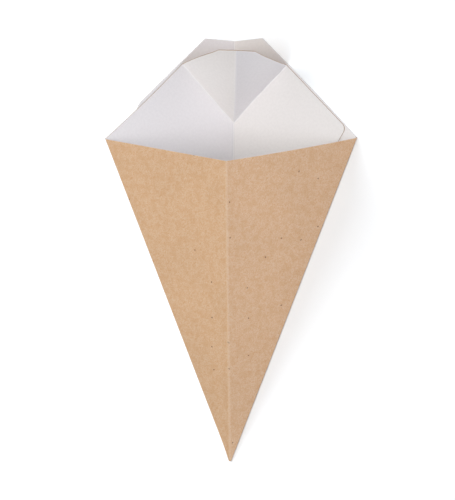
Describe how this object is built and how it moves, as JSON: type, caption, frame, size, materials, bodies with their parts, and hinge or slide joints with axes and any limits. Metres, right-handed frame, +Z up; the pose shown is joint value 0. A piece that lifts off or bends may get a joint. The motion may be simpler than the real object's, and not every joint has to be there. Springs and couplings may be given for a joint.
{
  "type": "cone paper cup",
  "caption": "Folded kraft board cone for chips, white inside, with a sauce pocket folded forward out of its double back wall.",
  "frame": {"origin": "centre of the footprint's box, on the surface that the cone lies on", "axes": "+Z up from that surface, +Y from the cone's point towards its mouth, +X to the right for someone who stands at the point and looks along +Y"},
  "size_m": [0.129, 0.2578, 0.0754],
  "materials": {
    "kraft_board": "uncoated brown kraft outside, white inside"
  },
  "bodies": {
    "root": {"folded_board_cone": "kraft_board"}
  },
  "joints": []
}
